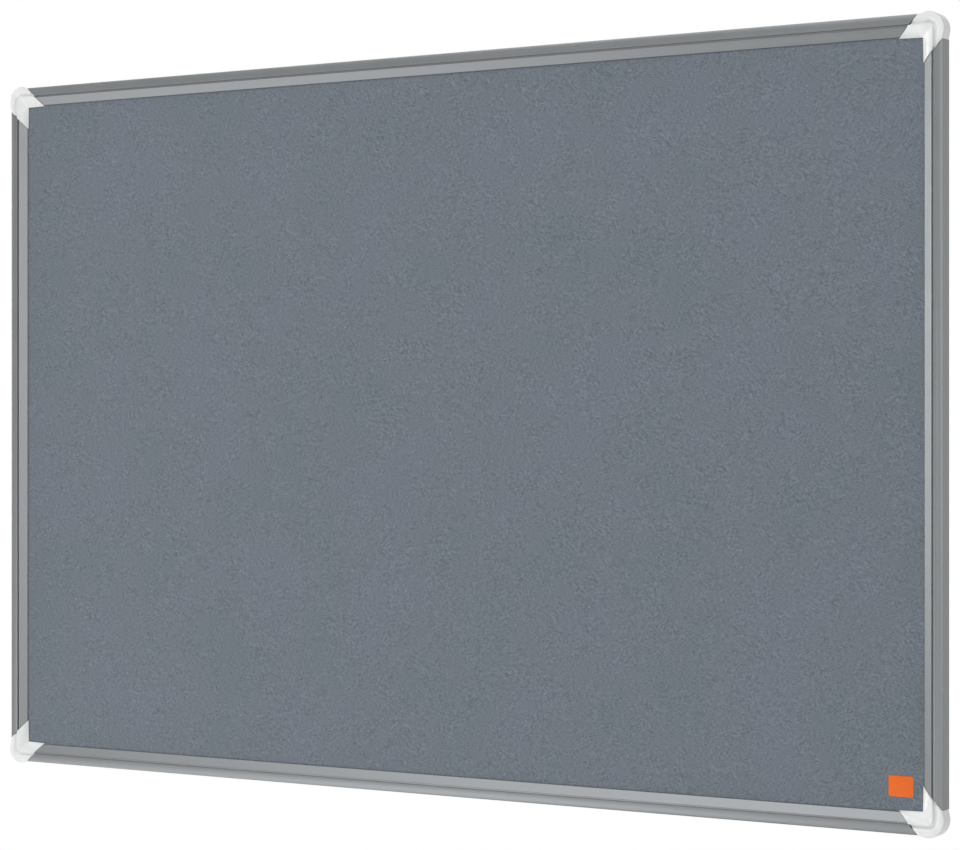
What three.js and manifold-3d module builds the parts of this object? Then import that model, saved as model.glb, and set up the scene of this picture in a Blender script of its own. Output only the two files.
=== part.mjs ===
// Felt notice board, 900 by 600 mm nominal, in a slim anodised aluminium frame with white plastic corners.
// Millimetres, +Z up. The origin is the centre of the wall plane, and the felt faces -Y.
// In each section, inward is measured from a rail's outer side and forward from the wall plane.
import * as THREE from 'three';
import { mergeVertices } from 'three/addons/utils/BufferGeometryUtils.js';
import Module from 'manifold-3d';

const wasm = await Module();
wasm.setup();

// Whole board, over the rails
const boardWidth = 914;
const boardHeight = 614;

// Fits and cuts
const clearance = 0.3;
const overrun = 4;
const mergeDistance = 0.0001;

// Laminated panel, from the wall forwards
const backThickness = 0.5;
const coreThickness = 4.3;
const feltThickness = 1.0;
const panelEdgeGap = 0.5;
const panelCornerClip = 9;

// Extruded rail
const faceWidth = 16.2;
const crest = 12.1;
const crown = 0.25;
const railWall = 1.2;
const webWall = 1.6;
const bandWidth = 7.5;
const bandWall = 1.5;
const edgeRadius = 0.7;
const grooveWidth = 1.45;
const grooveDepth = 1.7;
const grooveRound = 0.4;
const bevelWall = 1.1;
const lipThickness = 0.6;
const lipLand = 1.1;
const arris = 0.2;
const flangeWall = 1.0;
const flangeReach = 13;
const screwRecess = 1.8;

// Moulded corner cover
const coverCut = 19.5;
const cornerRadius = 12;
const coverWall = 1.4;
const cutRound = 1.2;
const swellOut = 1.5;
const swellLean = 0.35;
const swellFront = 1.05;
const bevelRise = 1.5;
const coverEdgeRadius = 1.45;
const coverGrooveShift = 1.4;
const coverGrooveWidth = 1.85;
const coverWebWall = 2;
const lipCover = 1;
const lipFlare = 0.35;
const coverRearGap = 0.4;
const postPlace = 17;
const postRearGap = 1.4;

// Moulded corner connector
const cornerCore = 16;
const fixingPlace = 8.6;
const fixingRadius = 2.3;
const fixingHeadRadius = 4.7;
const fixingSeat = 5.3;
const socketFloor = 1;
const spigotEnd = 52;
const spigotTaper = 3;
const spigotTipInset = 0.9;
const ribStart = 27;
const ribWidth = 1;
const ribTaper = 2;

// Self-tapping screw that holds a rail on its spigot
const screwPlace = 35;
const screwHeadRadius = 2;
const screwHeadHeight = 1.3;
const screwHeadRound = 0.4;
const screwRadius = 1.1;
const screwLength = 5.4;
const screwPoint = 1.3;

// Heights and places that follow from the sizes above
const panelRear = flangeWall + clearance;
const coreRear = panelRear + backThickness;
const feltRear = coreRear + coreThickness + clearance;
const lipUnderside = feltRear + feltThickness + clearance;
const lipTop = lipUnderside + lipThickness;
const grooveFloor = crest - grooveDepth;
const chamberInner = bandWidth - railWall;
const chamberFloor = screwRecess + railWall;
const chamberTop = crest - bandWall;
const slotInner = chamberInner + webWall;
const bevelStart = bandWidth + grooveWidth;
const coverGroove = bandWidth - coverGrooveShift;
const coverBevelStart = coverGroove + coverGrooveWidth;
const coverCeiling = grooveFloor - coverWall;
const connectorInset = coverWall + clearance;
const connectorTop = coverCeiling - clearance;
const spigotOuter = railWall + clearance;
const spigotInner = chamberInner - clearance;
const railCut = coverCut + clearance * Math.SQRT2;
const chamberCentre = (railWall + chamberInner) / 2;
const postRadius = (chamberInner - railWall) / 4;

const curveSteps = 4;
const cutSteps = 3;
const armSteps = 5;
const arcSteps = 9;
const roundSteps = 20;
const screwSteps = 12;

const anodised = new THREE.MeshStandardMaterial({ color: 0x95999c, roughness: 0.42, metalness: 0.85 });
const whitePlastic = new THREE.MeshStandardMaterial({ color: 0xf1f2f2, roughness: 0.38, metalness: 0 });
const greyNylon = new THREE.MeshStandardMaterial({ color: 0xb4b6b8, roughness: 0.6, metalness: 0 });
const feltCloth = new THREE.MeshStandardMaterial({ color: 0x717980, roughness: 1, metalness: 0 });
const fibreboard = new THREE.MeshStandardMaterial({ color: 0x9b7a55, roughness: 0.9, metalness: 0 });
const backingSheet = new THREE.MeshStandardMaterial({ color: 0xb8babc, roughness: 0.5, metalness: 0 });
const zincSteel = new THREE.MeshStandardMaterial({ color: 0xc3c6ca, roughness: 0.35, metalness: 0.9 });

// Solids in and out of the boolean library
function toSolid(geometry) {
  const bare = geometry.clone();
  bare.deleteAttribute('normal');
  bare.deleteAttribute('uv');
  const merged = mergeVertices(bare, mergeDistance);
  const vertProperties = new Float32Array(merged.attributes.position.array);
  const triangles = [];
  for (let corner = 0; corner < merged.index.count; corner += 3) {
    const [a, b, c] = merged.index.array.slice(corner, corner + 3);
    if (a !== b && b !== c && c !== a) triangles.push(a, b, c);
  }
  const triVerts = new Uint32Array(triangles);
  return new wasm.Manifold(new wasm.Mesh({ numProp: 3, vertProperties, triVerts }));
}

function toGeometry(solid) {
  const mesh = solid.getMesh();
  const geometry = new THREE.BufferGeometry();
  geometry.setAttribute('position', new THREE.BufferAttribute(new Float32Array(mesh.vertProperties), 3));
  geometry.setIndex(new THREE.BufferAttribute(new Uint32Array(mesh.triVerts), 1));
  geometry.computeVertexNormals();
  return geometry;
}

function join(...geometries) {
  return toGeometry(geometries.map(toSolid).reduce((whole, piece) => whole.add(piece)));
}

function cut(geometry, ...tools) {
  return toGeometry(tools.map(toSolid).reduce((whole, tool) => whole.subtract(tool), toSolid(geometry)));
}

// A shape drawn in plan, x along the wall and z up, as a slab between two forward distances
function slab(shape, rear, front) {
  const geometry = new THREE.ExtrudeGeometry(shape, {
    depth: front - rear, bevelEnabled: false, curveSegments: curveSteps,
  });
  geometry.rotateX(Math.PI / 2);
  geometry.translate(0, -rear, 0);
  return geometry;
}

// A round rod or hole that points out from the wall
function rod(radius, x, z, rear, front) {
  const geometry = new THREE.CylinderGeometry(radius, radius, front - rear, roundSteps);
  geometry.translate(x, -(rear + front) / 2, z);
  return geometry;
}

// Closed rings of points, drawn clockwise, one after another, skinned into a solid with flat ends
function loft(rings, outline) {
  const count = outline.length;
  const positions = rings.flat().flatMap((point) => [point.x, point.y, point.z]);
  const index = [];
  for (let ring = 0; ring < rings.length - 1; ring += 1) {
    for (let step = 0; step < count; step += 1) {
      const a = ring * count + step;
      const b = ring * count + ((step + 1) % count);
      index.push(a, b, b + count, a, b + count, a + count);
    }
  }
  const last = (rings.length - 1) * count;
  for (const [a, b, c] of THREE.ShapeUtils.triangulateShape(outline, [])) {
    index.push(a, b, c, last + c, last + b, last + a);
  }
  const geometry = new THREE.BufferGeometry();
  geometry.setAttribute('position', new THREE.Float32BufferAttribute(positions, 3));
  geometry.setIndex(index);
  return geometry;
}

// Rail: a closed chamber behind the outer band, a groove, and a bevel whose lip holds the panel
function railShape() {
  const bevelSlope = (crest - lipTop) / (faceWidth - bevelStart);
  const bevelInner = bevelStart + bevelWall;
  const bandMiddle = (edgeRadius + bandWidth - grooveRound) / 2;
  const crownTilt = Math.atan(crown * 2 / (bandMiddle - edgeRadius));
  const shape = new THREE.Shape();
  shape.moveTo(0, 0);
  shape.lineTo(0, crest - edgeRadius);
  shape.absarc(edgeRadius, crest - edgeRadius, edgeRadius, Math.PI, Math.PI / 2 + crownTilt, true);
  shape.quadraticCurveTo(bandMiddle, crest + crown * 2, bandWidth - grooveRound, crest);
  shape.quadraticCurveTo(bandWidth, crest, bandWidth, crest - grooveRound);
  shape.lineTo(bandWidth, grooveFloor);
  shape.lineTo(bevelStart, grooveFloor);
  shape.lineTo(bevelStart, crest - arris);
  shape.lineTo(bevelStart + arris, crest);
  shape.lineTo(faceWidth - arris, lipTop + arris * bevelSlope);
  shape.lineTo(faceWidth, lipTop - arris);
  shape.lineTo(faceWidth, lipUnderside);
  shape.lineTo(faceWidth - lipLand, lipUnderside);
  shape.lineTo(bevelInner, crest - bevelWall * (1 + bevelSlope));
  shape.lineTo(bevelInner, grooveFloor - bevelWall);
  shape.lineTo(slotInner, grooveFloor - bevelWall);
  shape.lineTo(slotInner, flangeWall);
  shape.lineTo(flangeReach, flangeWall);
  shape.lineTo(flangeReach, 0);
  shape.lineTo(chamberInner, 0);
  shape.lineTo(chamberInner, screwRecess);
  shape.lineTo(railWall, screwRecess);
  shape.lineTo(railWall, 0);

  const chamber = new THREE.Path();
  chamber.moveTo(railWall, chamberFloor);
  chamber.lineTo(chamberInner, chamberFloor);
  chamber.lineTo(chamberInner, chamberTop - arris);
  chamber.lineTo(chamberInner - arris, chamberTop);
  chamber.lineTo(railWall + arris, chamberTop);
  chamber.lineTo(railWall, chamberTop - arris);
  shape.holes.push(chamber);
  return shape;
}

// The section is pushed out as a unit length, then each end is drawn back to its 45 degree cut
function railGeometry(length) {
  const geometry = new THREE.ExtrudeGeometry(railShape(), {
    depth: 1, bevelEnabled: false, curveSegments: curveSteps,
  });
  geometry.applyMatrix4(new THREE.Matrix4().makeBasis(
    new THREE.Vector3(0, 0, 1), new THREE.Vector3(0, -1, 0), new THREE.Vector3(1, 0, 0),
  ));
  const position = geometry.attributes.position;
  for (let vertex = 0; vertex < position.count; vertex += 1) {
    const end = position.getX(vertex) > 0 ? 1 : -1;
    position.setX(vertex, end * (length / 2 - railCut - position.getZ(vertex)));
  }
  const holes = [-1, 1].map((end) => rod(
    screwRadius + clearance, end * (length / 2 - screwPlace), chamberCentre,
    screwRecess - railWall, chamberFloor + railWall,
  ));
  return cut(geometry, ...holes);
}

// Stations of the cover's path next to a 45 degree cut, whose edge is rounded over: the front rises there.
// The first station is drawn out past the cut by lead.
function cutStations(lead) {
  const stations = [];
  for (let step = 0; step <= cutSteps; step += 1) {
    const angle = Math.PI / 2 * (step / cutSteps);
    const back = step === 0 ? -lead : cutRound * (1 - Math.cos(angle));
    stations.push({
      swell: 0,
      rise: Math.sin(angle),
      place: (inward) => [coverCut + inward - back, inward],
    });
  }
  return stations;
}

// The same stations along the other arm, in the opposite order
function mirrored(stations) {
  return stations.toReversed().map((station) => ({
    ...station,
    place: (inward) => station.place(inward).toReversed(),
  }));
}

// Path along one arm of a corner, round its curve and along the other arm.
// The stations lean from 45 degrees at the cut to square at the curve, and the side swells towards the corner.
function cornerPath(lead) {
  const arm = cutStations(lead);
  for (let step = 1; step < armSteps; step += 1) {
    const run = step / armSteps;
    arm.push({
      swell: Math.sin(run * Math.PI / 2),
      rise: 1,
      place: (inward) => [
        cornerRadius + (1 - run) * (coverCut - cutRound + inward - cornerRadius), inward,
      ],
    });
  }
  const curve = [];
  for (let step = 0; step <= arcSteps; step += 1) {
    const angle = -Math.PI / 2 * (1 + step / arcSteps);
    curve.push({
      swell: 1,
      rise: 1,
      place: (inward) => [
        cornerRadius + (cornerRadius - inward) * Math.cos(angle),
        cornerRadius + (cornerRadius - inward) * Math.sin(angle),
      ],
    });
  }
  return [...arm, ...curve, ...mirrored(arm)];
}

// An outline's points, without the repeats where one curve ends and the next starts
function distinctPoints(shape) {
  return shape.getPoints(curveSteps).filter((point, place, points) => (
    place === 0 || point.distanceTo(points[place - 1]) > mergeDistance
  ));
}

function sweep(path, outlineAt) {
  const rings = path.map((station) => outlineAt(station).map((point) => {
    const [x, z] = station.place(point.x);
    return new THREE.Vector3(x, -point.y, z);
  }));
  return loft(rings, outlineAt(path[0]));
}

// The cover's rolled band at one station: its side leans and its edge is fuller where it swells
function bandAt({ swell, rise }) {
  return {
    out: swellOut * swell,
    outRear: (swellOut - swellLean) * swell,
    top: crest + crown + swellFront * rise,
    radius: edgeRadius + (coverEdgeRadius - edgeRadius) * swell,
  };
}

// From the front of the band, over and down to the foot of its inner side
function rollDown(shape, edge, foot, top, bottom) {
  const start = (edge + foot) / 2;
  shape.lineTo(start, top);
  shape.quadraticCurveTo((start + foot) / 2, top, foot, bottom);
}

function bandOutline(station) {
  const { out, outRear, top, radius } = bandAt(station);
  const shape = new THREE.Shape();
  shape.moveTo(-outRear, coverRearGap);
  shape.lineTo(-out, top - radius);
  shape.absarc(radius - out, top - radius, radius, Math.PI, Math.PI / 2, true);
  rollDown(shape, radius - out, coverGroove, top, grooveFloor);
  shape.lineTo(coverBevelStart + coverWebWall / 2, grooveFloor);
  shape.lineTo(coverBevelStart + coverWebWall / 2, coverRearGap);
  return distinctPoints(shape);
}

// Hollow of the band, one wall inside it, and of all that lies behind the groove
function hollowOutline(station) {
  const { out, outRear, top } = bandAt(station);
  const ceiling = top - coverWall;
  const shape = new THREE.Shape();
  shape.moveTo(coverWall - outRear, -overrun);
  shape.lineTo(coverWall - out, ceiling - arris);
  shape.lineTo(coverWall - out + arris, ceiling);
  rollDown(shape, coverWall - out + arris, coverGroove - coverWall, ceiling, coverCeiling);
  shape.lineTo(coverBevelStart + coverWebWall + arris, coverCeiling);
  shape.lineTo(coverBevelStart + coverWebWall + arris, -overrun);
  return distinctPoints(shape);
}

// Bevel of the cover, mitred at the inner corner, with its lip flared there over the felt
function bevelOutline({ swell, rise }) {
  const top = crest + bevelRise * rise;
  const lip = faceWidth + lipCover + lipFlare * swell;
  const webInner = coverBevelStart + coverWebWall;
  const slope = (top - lipTop) / (lip - coverBevelStart);
  return [
    [coverBevelStart, coverCeiling - coverWall],
    [coverBevelStart, top - arris],
    [coverBevelStart + arris, top],
    [lip - arris, lipTop + arris],
    [lip, lipTop - arris],
    [lip, lipUnderside],
    [lip - lipLand, lipUnderside],
    [webInner, top - bevelWall - coverWebWall * slope],
    [webInner, coverCeiling - coverWall],
  ].map(([inward, forward]) => new THREE.Vector2(inward, forward));
}

function bevelGeometry() {
  const arm = cutStations(0);
  const mitre = { swell: 1, rise: 1, place: (inward) => [inward, inward] };
  const reach = coverCut + faceWidth + overrun;
  const outside = new THREE.Shape();
  outside.moveTo(-overrun, -overrun);
  outside.lineTo(reach, -overrun);
  outside.lineTo(reach, coverBevelStart);
  outside.lineTo(cornerRadius, coverBevelStart);
  outside.absarc(
    cornerRadius, cornerRadius, cornerRadius - coverBevelStart, -Math.PI / 2, Math.PI, true,
  );
  outside.lineTo(coverBevelStart, reach);
  outside.lineTo(-overrun, reach);
  return cut(sweep([...arm, mitre, ...mirrored(arm)], bevelOutline), slab(outside, 0, crest + overrun));
}

// Cover: a rolled band and a mitred bevel in one shell, with two posts that press into the connector
function coverGeometry() {
  const band = sweep(cornerPath(0), bandOutline);
  const hollow = sweep(cornerPath(overrun), hollowOutline);
  const shell = cut(join(band, bevelGeometry()), hollow);
  return join(
    shell,
    rod(postRadius, postPlace, chamberCentre, postRearGap, crest),
    rod(postRadius, chamberCentre, postPlace, postRearGap, crest),
  );
}

// Connector: a block with the wall fixing hole, and a spigot for each rail
function connectorBlock() {
  const shape = new THREE.Shape();
  shape.moveTo(coverCut + connectorInset, connectorInset);
  shape.lineTo(coverCut + slotInner, slotInner);
  shape.lineTo(cornerCore, slotInner);
  shape.lineTo(slotInner, cornerCore);
  shape.lineTo(slotInner, coverCut + slotInner);
  shape.lineTo(connectorInset, coverCut + connectorInset);
  shape.lineTo(connectorInset, cornerRadius);
  shape.absarc(
    cornerRadius, cornerRadius, cornerRadius - connectorInset, Math.PI, Math.PI * 3 / 2, false,
  );
  return slab(shape, 0, connectorTop);
}

// A tapered tongue drawn along one arm; swapped gives the other arm's
function tongue(start, end, taper, outer, inner, inset, rear, front, swapped) {
  const corners = [
    [start, outer], [end - taper, outer], [end, outer + inset],
    [end, inner - inset], [end - taper, inner], [start, inner],
  ];
  const placed = swapped ? corners.map(([along, inward]) => [inward, along]).reverse() : corners;
  return slab(new THREE.Shape(placed.map(([x, z]) => new THREE.Vector2(x, z))), rear, front);
}

function connectorGeometry() {
  const pieces = [connectorBlock()];
  const cuts = [
    rod(fixingRadius, fixingPlace, fixingPlace, -overrun, connectorTop + overrun),
    rod(fixingHeadRadius, fixingPlace, fixingPlace, fixingSeat, connectorTop + overrun),
  ];
  const ribOuter = chamberCentre - ribWidth / 2;
  const ribInner = chamberCentre + ribWidth / 2;
  const spigotFloor = chamberFloor + clearance;
  for (const swapped of [false, true]) {
    pieces.push(
      tongue(coverCut, spigotEnd, spigotTaper, spigotOuter, spigotInner, spigotTipInset,
        spigotFloor, connectorTop, swapped),
      tongue(ribStart, spigotEnd - spigotTaper, ribTaper, ribOuter, ribInner, ribWidth / 3,
        connectorTop - arris, chamberTop - clearance, swapped),
    );
    const post = swapped ? [chamberCentre, postPlace] : [postPlace, chamberCentre];
    const screw = swapped ? [chamberCentre, screwPlace] : [screwPlace, chamberCentre];
    cuts.push(
      rod(postRadius + clearance, ...post, socketFloor, connectorTop + overrun),
      rod(screwRadius + clearance, ...screw, spigotFloor - overrun, connectorTop - arris * 2),
    );
  }
  return cut(join(...pieces), ...cuts);
}

// Pan head screw with its head in the recess behind the rail, pointing forward
function screwGeometry() {
  const seat = screwRecess - clearance;
  const rear = seat - screwHeadHeight;
  const tip = seat + screwLength;
  const profile = [
    [0, -tip],
    [screwRadius, screwPoint - tip],
    [screwRadius, -seat],
    [screwHeadRadius, -seat],
    [screwHeadRadius, -rear - screwHeadRound * 2],
    [screwHeadRadius - screwHeadRound, -rear - screwHeadRound],
    [screwHeadRadius - screwHeadRound * 3, -rear],
    [0, -rear],
  ];
  const points = profile.map(([radius, height]) => new THREE.Vector2(radius, height));
  return new THREE.LatheGeometry(points, screwSteps);
}

// One layer of the panel, with the corners clipped clear of the connectors
function panelLayer(rear, thickness) {
  const halfWidth = boardWidth / 2 - slotInner - panelEdgeGap;
  const halfHeight = boardHeight / 2 - slotInner - panelEdgeGap;
  const points = [[-1, -1], [1, -1], [1, 1], [-1, 1]].flatMap(([x, z]) => {
    const along = new THREE.Vector2(x * (halfWidth - panelCornerClip), z * halfHeight);
    const up = new THREE.Vector2(x * halfWidth, z * (halfHeight - panelCornerClip));
    return x === z ? [up, along] : [along, up];
  });
  return slab(new THREE.Shape(points), rear, rear + thickness);
}

const board = new THREE.Group();

function addPiece(group, name, geometry, material) {
  const mesh = new THREE.Mesh(geometry, material);
  mesh.name = name;
  group.add(mesh);
  return mesh;
}

function addFrame(x, z, turn) {
  const group = new THREE.Group();
  group.position.set(x, 0, z);
  group.rotation.y = turn;
  board.add(group);
  return group;
}

addPiece(board, 'back_sheet', panelLayer(panelRear, backThickness), backingSheet);
addPiece(board, 'core_board', panelLayer(coreRear, coreThickness), fibreboard);
addPiece(board, 'felt_sheet', panelLayer(feltRear, feltThickness), feltCloth);

// Sides and corners in one turn round the board, each drawn at the bottom and turned into place
const quarter = Math.PI / 2;
const longRail = railGeometry(boardWidth);
const shortRail = railGeometry(boardHeight);
const sides = [
  { name: 'rail_bottom', x: 0, z: -boardHeight / 2, turn: 0, geometry: longRail },
  { name: 'rail_left', x: -boardWidth / 2, z: 0, turn: quarter, geometry: shortRail },
  { name: 'rail_top', x: 0, z: boardHeight / 2, turn: quarter * 2, geometry: longRail },
  { name: 'rail_right', x: boardWidth / 2, z: 0, turn: -quarter, geometry: shortRail },
];
for (const { name, x, z, turn, geometry } of sides) {
  addPiece(addFrame(x, z, turn), name, geometry, anodised);
}

const cover = coverGeometry();
const connector = connectorGeometry();
const screw = screwGeometry();
const corners = [
  { name: 'bottom_left', x: -boardWidth / 2, z: -boardHeight / 2, turn: 0 },
  { name: 'top_left', x: -boardWidth / 2, z: boardHeight / 2, turn: quarter },
  { name: 'top_right', x: boardWidth / 2, z: boardHeight / 2, turn: quarter * 2 },
  { name: 'bottom_right', x: boardWidth / 2, z: -boardHeight / 2, turn: -quarter },
];
for (const { name, x, z, turn } of corners) {
  const frame = addFrame(x, z, turn);
  addPiece(frame, `connector_${name}`, connector, greyNylon);
  addPiece(frame, `cover_${name}`, cover, whitePlastic);
  addPiece(frame, `screw_${name}_1`, screw, zincSteel).position.set(screwPlace, 0, chamberCentre);
  addPiece(frame, `screw_${name}_2`, screw, zincSteel).position.set(chamberCentre, 0, screwPlace);
}

export default board;
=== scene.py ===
# Felt notice board in an anodised aluminium frame with white corner covers, dressed for a
# product picture. Metres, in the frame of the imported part: the felt faces -Y, the wall plane
# is y = 0, and +Z is up.
import math

import bpy
from mathutils import Matrix, Vector


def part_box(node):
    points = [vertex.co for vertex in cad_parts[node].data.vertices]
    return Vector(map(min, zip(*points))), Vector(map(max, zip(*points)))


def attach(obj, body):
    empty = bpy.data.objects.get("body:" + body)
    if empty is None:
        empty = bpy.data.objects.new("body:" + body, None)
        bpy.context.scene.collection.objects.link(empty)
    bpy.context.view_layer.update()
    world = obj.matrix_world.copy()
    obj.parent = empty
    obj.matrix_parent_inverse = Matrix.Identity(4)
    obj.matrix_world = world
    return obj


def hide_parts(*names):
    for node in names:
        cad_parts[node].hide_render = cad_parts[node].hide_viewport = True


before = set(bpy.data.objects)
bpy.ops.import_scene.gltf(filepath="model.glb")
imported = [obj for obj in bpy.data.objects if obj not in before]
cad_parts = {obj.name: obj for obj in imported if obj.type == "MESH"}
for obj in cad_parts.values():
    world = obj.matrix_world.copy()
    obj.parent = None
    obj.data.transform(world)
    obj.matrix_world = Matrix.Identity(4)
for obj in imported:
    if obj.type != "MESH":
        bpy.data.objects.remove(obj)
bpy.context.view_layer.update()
bpy.ops.object.select_all(action="DESELECT")

# Backing sheet: a thin balancing sheet of resin-filled paper, glued behind the core so that
# the panel stays flat. It is pressed between steel plates, so it is smooth, with the cloudy
# tone of paper fibres under the resin.


def linear(code):
    """An sRGB hex colour as the linear colour that a shader socket takes."""
    parts = [int(code[start:start + 2], 16) / 255 for start in (1, 3, 5)]
    return tuple(part / 12.92 if part <= 0.04045 else ((part + 0.055) / 1.055) ** 2.4
                 for part in parts) + (1.0,)


def node(tree, kind, inputs, **settings):
    """Adds a shader node. Each of its inputs is linked to another node's socket, or set to a
    value."""
    made = tree.nodes.new(kind)
    for name, value in settings.items():
        setattr(made, name, value)
    for name, value in inputs.items():
        if isinstance(value, bpy.types.NodeSocket):
            tree.links.new(value, made.inputs[name])
        else:
            made.inputs[name].default_value = value
    return made


def surface(name):
    """A new material, its node tree, its principled shader and its object coordinates."""
    material = bpy.data.materials.new(name)
    material.use_nodes = True
    tree = material.node_tree
    place = node(tree, "ShaderNodeTexCoord", {}).outputs["Object"]
    return material, tree, tree.nodes["Principled BSDF"], place


def coat(piece, material):
    """Gives a piece this one material."""
    piece.data.materials.clear()
    piece.data.materials.append(material)


# Paper fibres clump in clouds of 6 mm and in flecks of 1.5 mm
PAPER_CLOUD, PAPER_FLECK = 0.006, 0.0015
# A Mix node's sockets go by number, because its floats and its colours share their names
MIX_SHARE, COLOUR_A, COLOUR_B, MIXED_COLOUR = 0, 6, 7, 2
laminate, tree, shader, place = surface("pressed_paper_laminate")
clouds = node(tree, "ShaderNodeTexNoise", {
    "Vector": place, "Scale": 1 / PAPER_CLOUD, "Detail": 3.0})
flecks = node(tree, "ShaderNodeTexNoise", {
    "Vector": place, "Scale": 1 / PAPER_FLECK, "Detail": 2.0})
tone = node(tree, "ShaderNodeMix", {
    MIX_SHARE: 0.35, COLOUR_A: clouds.outputs["Color"], COLOUR_B: flecks.outputs["Color"]},
    data_type="RGBA")
grey = node(tree, "ShaderNodeValToRGB", {"Fac": tone.outputs[MIXED_COLOUR]})
grey.color_ramp.elements[0].position = 0.35
grey.color_ramp.elements[0].color = linear("#c3c5c6")
grey.color_ramp.elements[1].position = 0.65
grey.color_ramp.elements[1].color = linear("#d0d2d3")
dimples = node(tree, "ShaderNodeBump", {
    "Height": clouds.outputs["Fac"], "Strength": 0.12, "Distance": 0.0002})
tree.links.new(grey.outputs["Color"], shader.inputs["Base Color"])
tree.links.new(dimples.outputs["Normal"], shader.inputs["Normal"])
shader.inputs["Roughness"].default_value = 0.42
coat(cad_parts["back_sheet"], laminate)

# Core board: soft pressed wood fibre, which takes the pins. It is felted wet and pressed, so
# its sawn edge shows short brown fibres lying along the board, with a few dark shives of bark.
WOOD_FIBRE_LENGTH, WOOD_FIBRE_WIDTH, SHIVE = 0.006, 0.0012, 0.0022
fibreboard, tree, shader, place = surface("soft_fibreboard")
laid = node(tree, "ShaderNodeMapping", {
    "Vector": place,
    "Scale": (1 / WOOD_FIBRE_LENGTH, 1 / WOOD_FIBRE_WIDTH, 1 / WOOD_FIBRE_LENGTH)})
fibres = node(tree, "ShaderNodeTexNoise", {
    "Vector": laid.outputs["Vector"], "Scale": 1.0, "Detail": 5.0, "Roughness": 0.7})
shives = node(tree, "ShaderNodeTexNoise", {
    "Vector": place, "Scale": 1 / SHIVE, "Detail": 1.0})
brown = node(tree, "ShaderNodeValToRGB", {"Fac": fibres.outputs["Fac"]})
brown.color_ramp.elements[0].position = 0.3
brown.color_ramp.elements[0].color = linear("#7d5f40")
brown.color_ramp.elements[1].position = 0.7
brown.color_ramp.elements[1].color = linear("#b39470")
dark = node(tree, "ShaderNodeMapRange", {
    "Value": shives.outputs["Fac"], "From Min": 0.66, "From Max": 0.72})
speckled = node(tree, "ShaderNodeMix", {
    MIX_SHARE: dark.outputs["Result"], COLOUR_A: brown.outputs["Color"],
    COLOUR_B: linear("#5c4430")}, data_type="RGBA")
fuzz = node(tree, "ShaderNodeBump", {
    "Height": fibres.outputs["Fac"], "Strength": 0.5, "Distance": 0.0004})
tree.links.new(speckled.outputs[MIXED_COLOUR], shader.inputs["Base Color"])
tree.links.new(fuzz.outputs["Normal"], shader.inputs["Normal"])
shader.inputs["Roughness"].default_value = 0.88
coat(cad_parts["core_board"], fibreboard)

# Felt: a 1 mm sheet of needled polyester felt, glued all over to the core, with its edges under
# the frame's lip. Barbed needles tangle the fibres, so short strokes lie in every direction, in
# patches, with a faint nap.


def cut_sheet(name, place, width, height, thickness, corner, corner_steps, edge, edge_steps):
    """A sheet that stands upright with its face at this place. Its corners are cut off or
    rounded and its edges are softened."""
    bpy.ops.object.select_all(action="DESELECT")
    bpy.ops.mesh.primitive_plane_add(size=1, location=place, rotation=(math.pi / 2, 0, 0))
    sheet = bpy.context.object
    sheet.name = name
    sheet.scale = (width, height, 1)
    bpy.ops.object.transform_apply(location=True, rotation=True, scale=True)
    bpy.ops.object.mode_set(mode="EDIT")
    bpy.ops.mesh.select_all(action="SELECT")
    bpy.ops.mesh.bevel(
        affect="VERTICES", offset=corner, offset_type="OFFSET", segments=corner_steps)
    bpy.ops.object.mode_set(mode="OBJECT")
    thick = sheet.modifiers.new("thickness", "SOLIDIFY")
    thick.thickness = thickness
    thick.offset = -1
    soft_edge = sheet.modifiers.new("soft edge", "BEVEL")
    soft_edge.width = edge
    soft_edge.segments = edge_steps
    for modifier in list(sheet.modifiers):
        bpy.ops.object.modifier_apply(modifier=modifier.name)
    return sheet


# The corners of the real sheet are clipped by 9 mm. The cut here takes 6.4 mm of both sides.
FELT_CLIP, FELT_EDGE = 0.009, 0.0002
FELT_CUT = FELT_CLIP * math.sqrt(0.5)
felt_low, felt_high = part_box("felt_sheet")
felt_size = felt_high - felt_low
felt = cut_sheet("felt_pin_surface", (0, felt_low.y, 0), felt_size.x, felt_size.z, felt_size.y,
                 FELT_CUT, 1, FELT_EDGE, 2)

# Strokes of fibre are drawn 0.5 mm wide and 2.3 mm long, because single fibres are too fine to
# show. Each patch of some 20 mm has its strokes lying one way, and between the patches the nap
# is pressed nearly flat. The dye bath leaves slow, faint shifts of hue over a hand's width.
STROKE_LENGTH, STROKE_DEPTH, STROKE_WIDTH = 0.0023, 0.002, 0.0005
FIRST_PATCH, SECOND_PATCH, PRESSED_PATCH, DYE_SHIFT = 0.018, 0.025, 0.011, 0.09
FLOAT_A, FLOAT_B, MIXED_FLOAT = 2, 3, 0
needled, tree, shader, place = surface("needled_polyester_felt")
strokes = []
for turn, shift in ((0.65, 0.0), (-0.6, 3.1), (0.05, 6.7)):
    lie = node(tree, "ShaderNodeVectorRotate", {
        "Vector": place, "Angle": turn}, rotation_type="Y_AXIS")
    drawn = node(tree, "ShaderNodeMapping", {
        "Vector": lie.outputs["Vector"], "Location": (shift, shift, shift),
        "Scale": (1 / STROKE_LENGTH, 1 / STROKE_DEPTH, 1 / STROKE_WIDTH)})
    stroke = node(tree, "ShaderNodeTexNoise", {
        "Vector": drawn.outputs["Vector"], "Scale": 1.0, "Detail": 0.5, "Roughness": 0.5,
        "Distortion": 0.1})
    strokes.append(stroke.outputs["Fac"])
first_patch = node(tree, "ShaderNodeTexNoise", {
    "Vector": place, "Scale": 1 / FIRST_PATCH, "Detail": 1.0})
either = node(tree, "ShaderNodeMapRange", {
    "Value": first_patch.outputs["Fac"], "From Min": 0.46, "From Max": 0.54})
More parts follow.
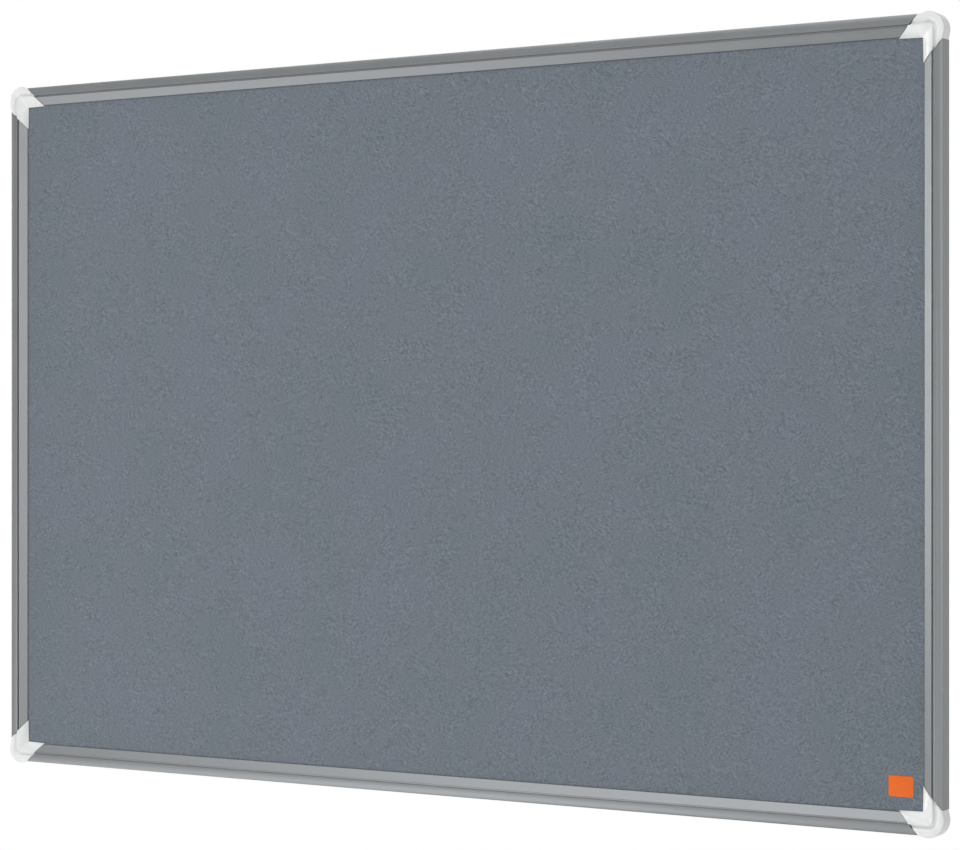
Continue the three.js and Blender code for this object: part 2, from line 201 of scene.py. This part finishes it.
# The other patches are read some metres away, so that they don't follow the first ones
apart = node(tree, "ShaderNodeVectorMath", {0: place, 1: (4.0, 0.0, 7.0)}, operation="ADD")
second_patch = node(tree, "ShaderNodeTexNoise", {
    "Vector": apart.outputs["Vector"], "Scale": 1 / SECOND_PATCH, "Detail": 1.0})
level = node(tree, "ShaderNodeMapRange", {
    "Value": second_patch.outputs["Fac"], "From Min": 0.54, "From Max": 0.62})
pressed = node(tree, "ShaderNodeTexNoise", {
    "Vector": apart.outputs["Vector"], "Scale": 1 / PRESSED_PATCH, "Detail": 2.0})
raised = node(tree, "ShaderNodeMapRange", {
    "Value": pressed.outputs["Fac"], "From Min": 0.3, "From Max": 0.6, "To Min": 0.45,
    "To Max": 1.0})
slanting = node(tree, "ShaderNodeMix", {
    MIX_SHARE: either.outputs["Result"], FLOAT_A: strokes[0], FLOAT_B: strokes[1]},
    data_type="FLOAT")
lying = node(tree, "ShaderNodeMix", {
    MIX_SHARE: level.outputs["Result"], FLOAT_A: slanting.outputs[MIXED_FLOAT],
    FLOAT_B: strokes[2]}, data_type="FLOAT")
tangle = node(tree, "ShaderNodeMix", {
    MIX_SHARE: raised.outputs["Result"], FLOAT_A: 0.5, FLOAT_B: lying.outputs[MIXED_FLOAT]},
    data_type="FLOAT")
dye_bath = node(tree, "ShaderNodeTexNoise", {
    "Vector": place, "Scale": 1 / DYE_SHIFT, "Detail": 2.0})
dye = node(tree, "ShaderNodeValToRGB", {"Fac": dye_bath.outputs["Fac"]})
dye.color_ramp.elements[0].position = 0.35
dye.color_ramp.elements[0].color = linear("#767f87")
dye.color_ramp.elements[1].position = 0.65
dye.color_ramp.elements[1].color = linear("#79808a")
light_and_dark = node(tree, "ShaderNodeMapRange", {
    "Value": tangle.outputs[MIXED_FLOAT], "From Min": 0.3, "From Max": 0.7, "To Min": 0.7,
    "To Max": 1.3})
fibre_colour = node(tree, "ShaderNodeVectorMath", {
    0: dye.outputs["Color"], 1: light_and_dark.outputs["Result"]}, operation="MULTIPLY")
nap = node(tree, "ShaderNodeBump", {
    "Height": tangle.outputs[MIXED_FLOAT], "Strength": 0.6, "Distance": 0.0005})
tree.links.new(fibre_colour.outputs["Vector"], shader.inputs["Base Color"])
tree.links.new(nap.outputs["Normal"], shader.inputs["Normal"])
shader.inputs["Roughness"].default_value = 0.95
shader.inputs["Specular IOR Level"].default_value = 0.2
shader.inputs["Sheen Weight"].default_value = 0.05
shader.inputs["Sheen Roughness"].default_value = 0.6
coat(felt, needled)
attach(felt, "board")
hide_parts("felt_sheet")

# Bare label: a small plain orange patch of coated vinyl, stuck to the felt at the lower right.
# It is die-cut with rounded corners, and its coating is smooth, with a fine calendered grain.
LABEL_WIDTH, LABEL_HEIGHT, LABEL_THICKNESS = 0.0203, 0.0158, 0.0004
LABEL_CORNER, LABEL_EDGE = 0.0013, 0.0001
LABEL_PLACE = (0.4216, felt_low.y - LABEL_THICKNESS, -0.2719)
label = cut_sheet("label_patch", LABEL_PLACE, LABEL_WIDTH, LABEL_HEIGHT, LABEL_THICKNESS,
                  LABEL_CORNER, 6, LABEL_EDGE, 3)
bpy.ops.object.shade_smooth_by_angle(angle=math.radians(35))

VINYL_GRAIN = 0.0008
vinyl, tree, shader, place = surface("coated_vinyl")
grain = node(tree, "ShaderNodeTexNoise", {
    "Vector": place, "Scale": 1 / VINYL_GRAIN, "Detail": 2.0})
orange = node(tree, "ShaderNodeValToRGB", {"Fac": grain.outputs["Fac"]})
orange.color_ramp.elements[0].position = 0.3
orange.color_ramp.elements[0].color = linear("#f36c1e")
orange.color_ramp.elements[1].position = 0.7
orange.color_ramp.elements[1].color = linear("#f97626")
grained = node(tree, "ShaderNodeBump", {
    "Height": grain.outputs["Fac"], "Strength": 0.15, "Distance": 0.0001})
tree.links.new(orange.outputs["Color"], shader.inputs["Base Color"])
tree.links.new(grained.outputs["Normal"], shader.inputs["Normal"])
shader.inputs["Roughness"].default_value = 0.55
shader.inputs["Specular IOR Level"].default_value = 0.3
coat(label, vinyl)
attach(label, "board")

# Rails: four lengths of extruded aluminium, cut at 45 degrees where the covers meet them, satin
# etched and anodised. The die leaves fine lines along each length, and the anodic film blurs
# what the metal mirrors.


def refine(node_name, piece_name, smooth_angle, edge_width=0):
    """A finer copy of a CAD piece, a mesh of its own with joined faces and smooth curves, and
    with rounded edges where they have a width."""
    piece = bpy.data.objects.new(piece_name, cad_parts[node_name].data.copy())
    bpy.context.scene.collection.objects.link(piece)
    bpy.ops.object.select_all(action="DESELECT")
    piece.select_set(True)
    bpy.context.view_layer.objects.active = piece
    bpy.ops.object.mode_set(mode="EDIT")
    bpy.ops.mesh.select_all(action="SELECT")
    bpy.ops.mesh.remove_doubles(threshold=0.000002)
    bpy.ops.mesh.dissolve_limited(angle_limit=math.radians(0.3))
    bpy.ops.mesh.select_all(action="DESELECT")
    bpy.ops.object.mode_set(mode="OBJECT")
    if edge_width:
        rounding = piece.modifiers.new("edge rounding", "BEVEL")
        rounding.width = edge_width
        rounding.segments = 2
        rounding.limit_method = "ANGLE"
        rounding.angle_limit = math.radians(40)
        bpy.ops.object.modifier_apply(modifier=rounding.name)
    bpy.ops.object.shade_smooth_by_angle(angle=math.radians(smooth_angle))
    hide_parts(node_name)
    return piece


# Die lines are drawn 0.7 mm apart, coarser than the real ones so that they show, and run on for
# 0.4 m. The etch leaves a slow cloudiness of some 30 mm.
DIE_LINE, DIE_LINE_LENGTH, ETCH_CLOUD = 0.0007, 0.4, 0.03
X_AXIS, Z_AXIS = 0, 2


def satin_aluminium(name, along):
    """Satin anodised aluminium whose die lines run along one axis."""
    material, tree, shader, place = surface(name)
    stretch = [1 / DIE_LINE] * 3
    stretch[along] = 1 / DIE_LINE_LENGTH
    lines = node(tree, "ShaderNodeMapping", {"Vector": place, "Scale": stretch})
    drawn = node(tree, "ShaderNodeTexNoise", {
        "Vector": lines.outputs["Vector"], "Scale": 1.0, "Detail": 2.0})
    etch = node(tree, "ShaderNodeTexNoise", {
        "Vector": place, "Scale": 1 / ETCH_CLOUD, "Detail": 3.0})
    film = node(tree, "ShaderNodeMix", {
        MIX_SHARE: 0.35, FLOAT_A: drawn.outputs["Fac"], FLOAT_B: etch.outputs["Fac"]},
        data_type="FLOAT")
    colour = node(tree, "ShaderNodeValToRGB", {"Fac": film.outputs[MIXED_FLOAT]})
    colour.color_ramp.elements[0].position = 0.3
    colour.color_ramp.elements[0].color = linear("#747778")
    colour.color_ramp.elements[1].position = 0.7
    colour.color_ramp.elements[1].color = linear("#7a7c7e")
    blur = node(tree, "ShaderNodeMapRange", {
        "Value": film.outputs[MIXED_FLOAT], "From Min": 0.3, "From Max": 0.7, "To Min": 0.33,
        "To Max": 0.41})
    scored = node(tree, "ShaderNodeBump", {
        "Height": drawn.outputs["Fac"], "Strength": 0.08, "Distance": 0.0001})
    tree.links.new(colour.outputs["Color"], shader.inputs["Base Color"])
    tree.links.new(blur.outputs["Result"], shader.inputs["Roughness"])
    tree.links.new(scored.outputs["Normal"], shader.inputs["Normal"])
    shader.inputs["Metallic"].default_value = 1.0
    return material


# The groove's two walls are measured from the rail's outer side, and its floor from the wall
# plane. The floor comes forward by the lift, so that the groove is the shallow dark line of the
# photographed rail. A point of the mesh that is this near to the floor belongs to it.
GROOVE_FROM, GROOVE_TO, GROOVE_FLOOR, GROOVE_LIFT = 0.0074, 0.0091, 0.0104, 0.0004
NEAR_FLOOR = 0.0001
level_satin = satin_aluminium("satin_anodised_aluminium_level", X_AXIS)
upright_satin = satin_aluminium("satin_anodised_aluminium_upright", Z_AXIS)
for side, across, satin in (
    ("top", Z_AXIS, level_satin),
    ("bottom", Z_AXIS, level_satin),
    ("left", X_AXIS, upright_satin),
    ("right", X_AXIS, upright_satin),
):
    rail = refine(f"rail_{side}", f"frame_rail_{side}", smooth_angle=25)
    outer = max(abs(corner[across]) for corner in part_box(f"rail_{side}"))
    for vertex in rail.data.vertices:
        inward = outer - abs(vertex.co[across])
        off_floor = abs(vertex.co.y + GROOVE_FLOOR)
        vertex.select = GROOVE_FROM < inward < GROOVE_TO and off_floor < NEAR_FLOOR
    bpy.ops.object.mode_set(mode="EDIT")
    bpy.ops.transform.translate(value=(0, -GROOVE_LIFT, 0))
    bpy.ops.mesh.select_all(action="DESELECT")
    bpy.ops.object.mode_set(mode="OBJECT")
    coat(rail, satin)
    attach(rail, "board")

# Corner connectors: light grey moulded nylon blocks with two spigots each, pressed into the
# rails' chambers. Moulded nylon is slightly waxy, with a fine spark-eroded texture from the
# mould, which is drawn coarse, in grains of 0.5 mm, over slow flow marks of 12 mm.
CORNERS = ("top_left", "top_right", "bottom_left", "bottom_right")
MOULD_GRAIN, FLOW_MARK = 0.0005, 0.012
nylon, tree, shader, place = surface("moulded_nylon")
sparks = node(tree, "ShaderNodeTexNoise", {
    "Vector": place, "Scale": 1 / MOULD_GRAIN, "Detail": 2.0})
flow = node(tree, "ShaderNodeTexNoise", {
    "Vector": place, "Scale": 1 / FLOW_MARK, "Detail": 2.0})
greys = node(tree, "ShaderNodeValToRGB", {"Fac": flow.outputs["Fac"]})
greys.color_ramp.elements[0].position = 0.35
greys.color_ramp.elements[0].color = linear("#adb0b2")
greys.color_ramp.elements[1].position = 0.65
greys.color_ramp.elements[1].color = linear("#babcbe")
eroded = node(tree, "ShaderNodeBump", {
    "Height": sparks.outputs["Fac"], "Strength": 0.25, "Distance": 0.0001})
tree.links.new(greys.outputs["Color"], shader.inputs["Base Color"])
tree.links.new(eroded.outputs["Normal"], shader.inputs["Normal"])
shader.inputs["Roughness"].default_value = 0.5
shader.inputs["IOR"].default_value = 1.53
for corner in CORNERS:
    connector = refine(f"connector_{corner}", f"corner_connector_{corner}", smooth_angle=25)
    coat(connector, nylon)
    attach(connector, "board")

# Rail screws: eight pan head self-tapping screws, driven from behind through each rail into its
# spigot. They are cold-headed steel with a bright zinc plating, and each head has a cross
# recess. The plating bath leaves faint stains of 1.5 mm.
ZINC_STAIN = 0.0015
plated, tree, shader, place = surface("bright_zinc_plated_steel")
bath = node(tree, "ShaderNodeTexNoise", {
    "Vector": place, "Scale": 1 / ZINC_STAIN, "Detail": 3.0})
zinc = node(tree, "ShaderNodeValToRGB", {"Fac": bath.outputs["Fac"]})
zinc.color_ramp.elements[0].position = 0.3
zinc.color_ramp.elements[0].color = linear("#b3b8bf")
zinc.color_ramp.elements[1].position = 0.7
zinc.color_ramp.elements[1].color = linear("#cfcfcc")
haze = node(tree, "ShaderNodeMapRange", {
    "Value": bath.outputs["Fac"], "To Min": 0.2, "To Max": 0.42})
tree.links.new(zinc.outputs["Color"], shader.inputs["Base Color"])
tree.links.new(haze.outputs["Result"], shader.inputs["Roughness"])
shader.inputs["Metallic"].default_value = 1.0

# The recess is cut by two crossed bars, which sink into the head by half their depth
RECESS_LENGTH, RECESS_WIDTH, BAR_DEPTH = 0.0024, 0.0006, 0.0018
screw_low, screw_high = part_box("screw_bottom_left_1")
head = Vector((
    (screw_low.x + screw_high.x) / 2, screw_high.y, (screw_low.z + screw_high.z) / 2))
bpy.ops.object.select_all(action="DESELECT")
bars = []
for wide, high in ((RECESS_LENGTH, RECESS_WIDTH), (RECESS_WIDTH, RECESS_LENGTH)):
    bpy.ops.mesh.primitive_cube_add(size=1, location=head)
    bar = bpy.context.object
    bar.scale = (wide, BAR_DEPTH, high)
    bpy.ops.object.transform_apply(location=True, rotation=True, scale=True)
    bars.append(bar)
first_screw = refine("screw_bottom_left_1", "rail_screw_bottom_left_1", smooth_angle=35)
for bar in bars:
    recess = first_screw.modifiers.new("cross recess", "BOOLEAN")
    recess.operation = "DIFFERENCE"
    recess.object = bar
    bpy.ops.object.modifier_apply(modifier=recess.name)
    bpy.data.objects.remove(bar)
for corner in CORNERS:
    for number in (1, 2):
        name = f"screw_{corner}_{number}"
        screw = first_screw
        if name != "screw_bottom_left_1":
            screw = bpy.data.objects.new(f"rail_{name}", first_screw.data.copy())
            bpy.context.scene.collection.objects.link(screw)
            screw.data.transform(Matrix.Translation(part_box(name)[0] - screw_low))
            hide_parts(name)
        coat(screw, plated)
        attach(screw, "board")

# Corner covers: white moulded ABS shells that press onto the connectors by two posts and hide
# the holes for the wall screws. ABS from a polished mould is bright and half glossy, with only
# a faint ripple of 8 mm where it flowed.
COVER_EDGE, ABS_RIPPLE = 0.00025, 0.008
abs_plastic, tree, shader, place = surface("polished_white_abs")
ripple = node(tree, "ShaderNodeTexNoise", {
    "Vector": place, "Scale": 1 / ABS_RIPPLE, "Detail": 2.0})
whites = node(tree, "ShaderNodeValToRGB", {"Fac": ripple.outputs["Fac"]})
whites.color_ramp.elements[0].position = 0.3
whites.color_ramp.elements[0].color = linear("#f2f4f4")
whites.color_ramp.elements[1].position = 0.7
whites.color_ramp.elements[1].color = linear("#f8f9f9")
polish = node(tree, "ShaderNodeMapRange", {
    "Value": ripple.outputs["Fac"], "To Min": 0.2, "To Max": 0.3})
rippled = node(tree, "ShaderNodeBump", {
    "Height": ripple.outputs["Fac"], "Strength": 0.05, "Distance": 0.0003})
tree.links.new(whites.outputs["Color"], shader.inputs["Base Color"])
tree.links.new(polish.outputs["Result"], shader.inputs["Roughness"])
tree.links.new(rippled.outputs["Normal"], shader.inputs["Normal"])
shader.inputs["IOR"].default_value = 1.54
for corner in CORNERS:
    cover = refine(
        f"cover_{corner}", f"corner_cover_{corner}", smooth_angle=30, edge_width=COVER_EDGE)
    coat(cover, abs_plastic)
    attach(cover, f"{corner}_cover")

# Floor: a plain sheet of matt white card, laid well below the board so that it stays out of a
# level picture. It glows faintly for the camera and for gloss alone, which keeps it pale far
# from the lamps and lights nothing on the board.
FLOOR_SIDE, FLOOR_LEVEL, CARD_SPECK, FLOOR_GLOW = 9, -2.6, 0.004, 0.2
bpy.ops.object.select_all(action="DESELECT")
bpy.ops.mesh.primitive_plane_add(size=FLOOR_SIDE, location=(0, 0, FLOOR_LEVEL))
floor = bpy.context.object
floor.name = "floor"
card, tree, shader, place = surface("matt_white_card")
speck = node(tree, "ShaderNodeTexNoise", {
    "Vector": place, "Scale": 1 / CARD_SPECK, "Detail": 2.0})
pale = node(tree, "ShaderNodeMapRange", {
    "Value": speck.outputs["Fac"], "To Min": 0.87, "To Max": 0.91})


def seen_ray(tree):
    """1 for a ray from the camera or off gloss or glass, which is to see pale surroundings,
    and 0 for a ray of diffuse light."""
    ray = node(tree, "ShaderNodeLightPath", {})
    seen = node(tree, "ShaderNodeMath", {
        0: ray.outputs["Is Camera Ray"], 1: ray.outputs["Is Glossy Ray"]}, operation="ADD")
    either = node(tree, "ShaderNodeMath", {
        0: seen.outputs[0], 1: ray.outputs["Is Transmission Ray"]}, operation="ADD")
    return either.outputs[0]


glow = node(tree, "ShaderNodeMapRange", {
    "Value": seen_ray(tree), "To Min": 0.0, "To Max": FLOOR_GLOW})
tree.links.new(pale.outputs["Result"], shader.inputs["Base Color"])
tree.links.new(glow.outputs["Result"], shader.inputs["Emission Strength"])
shader.inputs["Emission Color"].default_value = linear("#ffffff")
shader.inputs["Roughness"].default_value = 0.9
coat(floor, card)

# Studio light: an even white surround, which the camera and the gloss see as plain white and
# which lights the board only a little, and nine square soft boxes turned to the board's middle.
SURROUND_LIGHT = 0.2
world = bpy.data.worlds.new("white_surround")
bpy.context.scene.world = world
world.use_nodes = True
tree = world.node_tree
strength = node(tree, "ShaderNodeMapRange", {
    "Value": seen_ray(tree), "To Min": SURROUND_LIGHT, "To Max": 1.0})
tree.links.new(strength.outputs["Result"], tree.nodes["Background"].inputs["Strength"])
tree.nodes["Background"].inputs["Color"].default_value = linear("#ffffff")

# Each soft box has its place, the side of its square and its watts
for name, stand, side, watts in (
    ("soft_box_far_left", (-3.8, 0, 0.33), 1.6, 47.0),
    ("soft_box_low_left", (-2.13, -1.23, -1.72), 1.6, 14.0),
    ("soft_box_low_front", (-1.13, -1.95, -0.82), 1.0, 6.9),
    ("soft_box_low_middle", (0.3, -1.7, -1.6), 1.2, 5.5),
    ("soft_box_high_left", (-1.9, -1.9, 3.2), 2.2, 41.0),
    ("soft_box_high_middle", (0.2, -2.0, 1.8), 1.4, 13.0),
    ("soft_box_front", (1.1, -6.0, 0.3), 1.6, 28.0),
    ("soft_box_right", (2.4, -0.7, 0.3), 1.2, 12.0),
    ("soft_box_back", (-1.8, 4.0, 0.1), 1.6, 125.0),
):
    bpy.ops.object.light_add(type="AREA", location=stand)
    lamp = bpy.context.object
    lamp.name = name
    lamp.data.size = side
    lamp.data.energy = watts
    lamp.rotation_euler = (-Vector(stand)).to_track_quat("-Z", "Y").to_euler()

# Camera: level with the middle of the board and well to its right, as in the photograph. Its
# place, its turn and its lens were fitted to the four outer edges of the frame.
CAMERA_PLACE, CAMERA_TURN = (1.2856, -1.9722, -0.0003), math.radians(32.218)
bpy.ops.object.camera_add(location=CAMERA_PLACE, rotation=(math.radians(90), 0, CAMERA_TURN))
camera = bpy.context.object
camera.data.sensor_width = 36.0
camera.data.lens = 105.95
bpy.context.scene.camera = camera
bpy.context.scene.view_settings.view_transform = "Standard"
